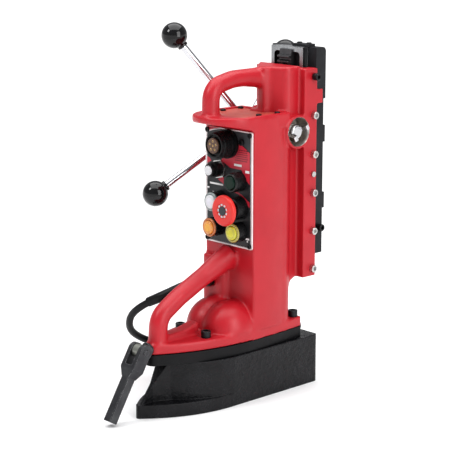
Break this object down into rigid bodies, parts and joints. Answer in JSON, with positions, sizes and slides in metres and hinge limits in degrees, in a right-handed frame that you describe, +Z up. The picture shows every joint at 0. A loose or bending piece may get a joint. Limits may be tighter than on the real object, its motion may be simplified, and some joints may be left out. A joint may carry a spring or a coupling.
{
  "type": "magnetic drill press",
  "caption": "Magnetic drill press stand: electromagnet base, swivelling cast column with a control panel, geared dovetail slide worked by a spoked capstan, and a clamp lever.",
  "frame": {"origin": "where the swivel axis meets the lower pole face of the magnet", "axes": "+Z up, -Y the front with the panel and the clamp lever, +Y the rear where the drill motor bolts on, +X the side of the adjusting screws"},
  "size_m": [0.2582, 0.4597, 0.4766],
  "materials": {
    "red_paint": "gloss enamel over a cast skin",
    "black_paint": "textured gloss black",
    "dark_steel": "dark grey satin",
    "core_steel": "ground pole face",
    "copper": "enamelled winding",
    "potting": "cast resin",
    "pivot_steel": "turned steel",
    "black_screws": "black oxide",
    "bright_screws": "zinc plated",
    "red_cover": "gloss enamel sheet",
    "panel": "printed sheet",
    "black_plastic": "moulded black",
    "tan_plastic": "moulded insulator",
    "brass": "bare brass",
    "white_cap": "moulded white",
    "rims": "plated rims",
    "green_cap": "moulded green",
    "orange_cap": "clear amber lens",
    "yellow_cap": "clear yellow lens",
    "stop_red": "moulded red",
    "stop_grey": "moulded grey",
    "board": "circuit board",
    "slide_metal": "ground steel",
    "chrome": "plated bright steel",
    "knob_plastic": "polished black",
    "lever_steel": "gunmetal casting",
    "rubber": "black cord rubber"
  },
  "bodies": {
    "magnet": {"magnet_body": "black_paint", "magnet_core": "core_steel", "magnet_coil": "copper", "magnet_potting": "potting", "pivot_stud": "pivot_steel", "pivot_nut": "pivot_steel"},
    "swivel_block": {"swivel_block": "pivot_steel"},
    "stand": {"base_screws": "black_screws", "breaker_body": "black_plastic", "breaker_nut": "bright_screws", "button_barrels": "black_plastic", "button_rims": "rims", "contact_blocks": "black_plastic", "control_board": "board", "cord_coil": "rubber", "cord_gland": "black_plastic", "cord_tie": "rubber", "cover_screws": "black_screws", "deck_cover": "red_cover", "gib_screws": "bright_screws", "gib_strip": "slide_metal", "housing": "red_paint", "housing_flange": "red_paint", "lock_screws": "black_screws", "loop_handle": "red_paint", "nose_washer": "lever_steel", "panel_plate": "panel", "plug_blades": "brass", "plug_body": "black_plastic", "power_cord": "rubber", "receptacle_contacts": "brass", "receptacle_insert": "tan_plastic", "receptacle_shell": "black_plastic", "shaft_bushes": "black_plastic", "stop_collar": "stop_grey", "strain_relief": "rubber", "swivel_plate": "dark_steel", "top_handle": "red_paint"},
    "slide": {"slide": "slide_metal", "rack": "slide_metal", "slide_screws": "black_screws", "slide_top_plate": "dark_steel", "stop_screw": "black_screws"},
    "feed_wheel": {"pinion_shaft": "slide_metal", "hub": "chrome", "hub_screw": "black_screws", "spokes": "chrome", "knobs": "knob_plastic"},
    "wing": {"wing_screw": "chrome"},
    "clamp_bar": {"draw_bar": "lever_steel", "clamp_wedge": "lever_steel", "lever_pin": "lever_steel"},
    "clamp_lever": {"clamp_lever": "lever_steel"},
    "green": {"button_green": "green_cap"},
    "orange": {"button_orange": "orange_cap"},
    "white": {"button_white": "white_cap"},
    "yellow": {"button_yellow": "yellow_cap"},
    "stop": {"stop_mushroom": "stop_red", "stop_disc": "stop_grey"},
    "breaker": {"breaker_button": "white_cap"}
  },
  "joints": [
    {"name": "swivel", "type": "hinge", "parent": "magnet", "child": "swivel_block", "pos_m": [0, 0, 0.072], "axis": [0, 0, 1], "range_deg": [-10, 10]},
    {"name": "shift", "type": "slide", "parent": "swivel_block", "child": "stand", "axis": [0, 1, 0], "range_m": [-0.006, 0.006]},
    {"name": "slide_feed", "type": "slide", "parent": "stand", "child": "slide", "axis": [0, 0, 1], "range_m": [-0.083, 0.15]},
    {"name": "feed_spin", "type": "hinge", "parent": "stand", "child": "feed_wheel", "pos_m": [-0.02, 0.0462, 0.34], "axis": [1, 0, 0], "range_deg": [-302, 545]},
    {"name": "wing_turn", "type": "hinge", "parent": "stand", "child": "wing", "pos_m": [0.045, 0.0462, 0.34], "axis": [1, 0, 0], "range_deg": [-90, 90]},
    {"name": "draw", "type": "slide", "parent": "stand", "child": "clamp_bar", "axis": [0, -1, 0], "range_m": [0, 0.0015]},
    {"name": "lever_swing", "type": "hinge", "parent": "clamp_bar", "child": "clamp_lever", "pos_m": [0, -0.186, 0.0865], "axis": [-1, 0, 0], "range_deg": [0, 110]},
    {"name": "green_press", "type": "slide", "parent": "stand", "child": "green", "axis": [0, 1, 0], "range_m": [0, 0.004], "stiffness_N_per_m": 900, "springref_m": -0.0005},
    {"name": "orange_press", "type": "slide", "parent": "stand", "child": "orange", "axis": [0, 1, 0], "range_m": [0, 0.004], "stiffness_N_per_m": 900, "springref_m": -0.0005},
    {"name": "white_press", "type": "slide", "parent": "stand", "child": "white", "axis": [0, 1, 0], "range_m": [0, 0.004], "stiffness_N_per_m": 900, "springref_m": -0.0005},
    {"name": "yellow_press", "type": "slide", "parent": "stand", "child": "yellow", "axis": [0, 1, 0], "range_m": [0, 0.004], "stiffness_N_per_m": 900, "springref_m": -0.0005},
    {"name": "stop_press", "type": "slide", "parent": "stand", "child": "stop", "axis": [0, 1, 0], "range_m": [0, 0.0026], "stiffness_N_per_m": 900, "springref_m": -0.0005},
    {"name": "breaker_press", "type": "slide", "parent": "stand", "child": "breaker", "axis": [0, 1, 0], "range_m": [0, 0.0015], "stiffness_N_per_m": 900, "springref_m": -0.0005}
  ],
  "couplings": [
    {"joint": "feed_spin", "follows": "slide_feed", "rad_per_m": 62.992},
    {"joint": "draw", "follows": "lever_swing", "m_per_rad": 0.00078131}
  ]
}
